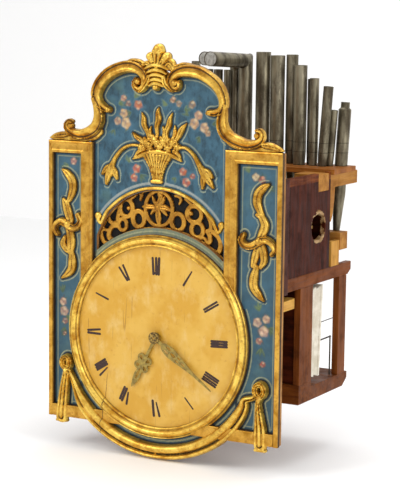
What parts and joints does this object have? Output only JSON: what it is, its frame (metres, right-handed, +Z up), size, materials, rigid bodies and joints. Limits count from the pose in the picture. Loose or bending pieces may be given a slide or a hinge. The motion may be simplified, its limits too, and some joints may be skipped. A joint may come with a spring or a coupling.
{
  "type": "organ clock",
  "caption": "Bracket organ clock: carved, painted and gilt front board with a round dial, spring movement, and a pipe organ with barrel, keys, wind chest and bellows behind.",
  "frame": {"origin": "middle of the base board's underside, where it rests on its shelf", "axes": "+Z up, -Y the way the dial faces, +X to the right of someone who reads the dial"},
  "size_m": [0.602, 0.426, 0.9415],
  "materials": {
    "painted_board": "distemper and oil paint, satin, mottled blue-green",
    "gilt_wood": "water gilding over red bole, burnished and rubbed",
    "painted_dial": "old yellow paint, satin, with dark painted numerals",
    "sound_cloth": "dark woven cloth",
    "hand_steel": "aged, greenish bronzed steel, satin",
    "movement_brass": "satin",
    "movement_steel": "satin",
    "red_walnut": "dark red-brown stained and waxed",
    "oak": "brown waxed",
    "fresh_deal": "bare light softwood",
    "organ_metal": "old pipe metal with a brown patina, satin",
    "bellows_board": "board faced with pale leather",
    "bellows_leather": "pale alum-tawed leather",
    "spring_steel": "dark drawn wire"
  },
  "bodies": {
    "case": {"facade_panel": "painted_board", "facade_frame": "gilt_wood", "crest_scrolls": "gilt_wood", "crest_finial": "gilt_wood", "basket_relief": "gilt_wood", "fretwork_screen": "gilt_wood", "fret_arch": "gilt_wood", "sound_cloth": "sound_cloth", "dial_bezel": "gilt_wood", "dial_plate": "painted_dial", "ribbon_reliefs": "gilt_wood", "drapery_swag": "gilt_wood", "facade_lugs": "fresh_deal", "front_plate": "movement_brass", "back_plate": "movement_brass", "movement_pillars": "movement_brass", "case_side_left": "red_walnut", "case_side_right": "red_walnut", "side_beams": "oak", "corner_stiles": "red_walnut", "case_floor": "oak", "case_back": "red_walnut", "cross_rail": "fresh_deal", "front_board": "red_walnut", "front_sill": "oak", "base_board": "oak", "posts": "oak", "rack_board": "oak", "rack_brackets": "oak", "chest_posts": "fresh_deal", "wind_chest": "oak", "bellows_front_board": "bellows_board", "bellows_leather": "bellows_leather", "organ_frame": "movement_brass", "spring_wires": "spring_steel", "pipes_mitred": "organ_metal", "pipes_large": "organ_metal", "pipes_medium": "organ_metal", "pipes_small": "organ_metal"},
    "minute_work": {"minute_hand": "hand_steel", "hand_nut": "hand_steel", "cannon_pinion": "movement_brass", "centre_wheel": "movement_brass"},
    "hour_work": {"hour_hand": "hand_steel", "hour_wheel": "movement_brass"},
    "minute_wheel": {"minute_wheel": "movement_brass"},
    "great_wheel": {"great_wheel": "movement_brass"},
    "third_wheel": {"third_wheel": "movement_brass"},
    "escape_wheel": {"escape_wheel": "movement_brass"},
    "pendulum": {"anchor": "movement_steel", "pendulum": "movement_brass"},
    "clock_winder": {"barrel_arbor": "movement_steel"},
    "clock_click": {"clock_click": "movement_steel"},
    "organ_barrel": {"organ_barrel": "fresh_deal"},
    "organ_spring_barrel": {"organ_spring_barrel": "movement_brass"},
    "fly": {"fly": "movement_brass"},
    "organ_winder": {"winding_arbor": "movement_steel"},
    "organ_click": {"ratchet_click": "movement_steel"},
    "keys": {"key_levers": "fresh_deal"},
    "bellows_board": {"bellows_rear_board": "bellows_board"}
  },
  "joints": [
    {"name": "minute_spin", "type": "hinge", "parent": "case", "child": "minute_work", "pos_m": [-0.01, -0.205, 0.142], "axis": [0, 1, 0], "continuous": true},
    {"name": "hour_spin", "type": "hinge", "parent": "case", "child": "hour_work", "pos_m": [-0.01, -0.215, 0.142], "axis": [0, 1, 0], "continuous": true},
    {"name": "minute_wheel_spin", "type": "hinge", "parent": "case", "child": "minute_wheel", "pos_m": [0.014, -0.211, 0.142], "axis": [0, 1, 0], "continuous": true},
    {"name": "great_spin", "type": "hinge", "parent": "case", "child": "great_wheel", "pos_m": [0.02983, -0.185, 0.10858], "axis": [0, 1, 0], "continuous": true},
    {"name": "third_spin", "type": "hinge", "parent": "case", "child": "third_wheel", "pos_m": [-0.01, -0.179, 0.178], "axis": [0, 1, 0], "continuous": true},
    {"name": "escape_spin", "type": "hinge", "parent": "case", "child": "escape_wheel", "pos_m": [-0.01, -0.179, 0.2086], "axis": [0, 1, 0], "continuous": true},
    {"name": "pendulum_swing", "type": "hinge", "parent": "case", "child": "pendulum", "pos_m": [-0.01, -0.17, 0.23551], "axis": [0, 1, 0], "range_deg": [-2.5, 2.5]},
    {"name": "clock_winding", "type": "hinge", "parent": "case", "child": "clock_winder", "pos_m": [0.02983, -0.165, 0.10858], "axis": [0, 1, 0], "range_deg": [-1440, 0]},
    {"name": "clock_click_lift", "type": "hinge", "parent": "case", "child": "clock_click", "pos_m": [0.04683, -0.1495, 0.12557], "axis": [0, 1, 0], "range_deg": [0, 8], "stiffness_Nm_per_rad": 0.02, "springref_deg": -17.19},
    {"name": "organ_spin", "type": "hinge", "parent": "case", "child": "organ_barrel", "pos_m": [-0.04, -0.125, 0.383], "axis": [1, 0, 0], "continuous": true},
    {"name": "organ_spring_spin", "type": "hinge", "parent": "case", "child": "organ_spring_barrel", "pos_m": [0.2, -0.049, 0.393], "axis": [1, 0, 0], "continuous": true},
    {"name": "fly_spin", "type": "hinge", "parent": "case", "child": "fly", "pos_m": [0.2, -0.15183, 0.42947], "axis": [1, 0, 0], "continuous": true},
    {"name": "organ_winding", "type": "hinge", "parent": "case", "child": "organ_winder", "pos_m": [0.22, -0.049, 0.393], "axis": [1, 0, 0], "range_deg": [0, 1440]},
    {"name": "organ_click_lift", "type": "hinge", "parent": "case", "child": "organ_click", "pos_m": [0.259, -0.051, 0.423], "axis": [1, 0, 0], "range_deg": [0, 8], "stiffness_Nm_per_rad": 0.02, "springref_deg": -17.19},
    {"name": "key_lift", "type": "hinge", "parent": "case", "child": "keys", "pos_m": [-0.052, -0.02, 0.448], "axis": [-1, 0, 0], "range_deg": [0, 3], "stiffness_Nm_per_rad": 0.1, "springref_deg": -17.19},
    {"name": "bellows_close", "type": "hinge", "parent": "case", "child": "bellows_board", "pos_m": [0.185, -0.011, 0.045], "axis": [1, 0, 0], "range_deg": [0, 8], "deforming": ["bellows_leather"]}
  ],
  "couplings": [
    {"joint": "hour_spin", "follows": "minute_spin", "ratio": 0.083333},
    {"joint": "minute_wheel_spin", "follows": "minute_spin", "ratio": -0.33333},
    {"joint": "great_spin", "follows": "minute_spin", "ratio": -0.083333},
    {"joint": "third_spin", "follows": "minute_spin", "ratio": -8},
    {"joint": "escape_spin", "follows": "minute_spin", "ratio": 60},
    {"joint": "organ_spring_spin", "follows": "organ_spin", "ratio": -1.5},
    {"joint": "fly_spin", "follows": "organ_spin", "ratio": -6}
  ]
}
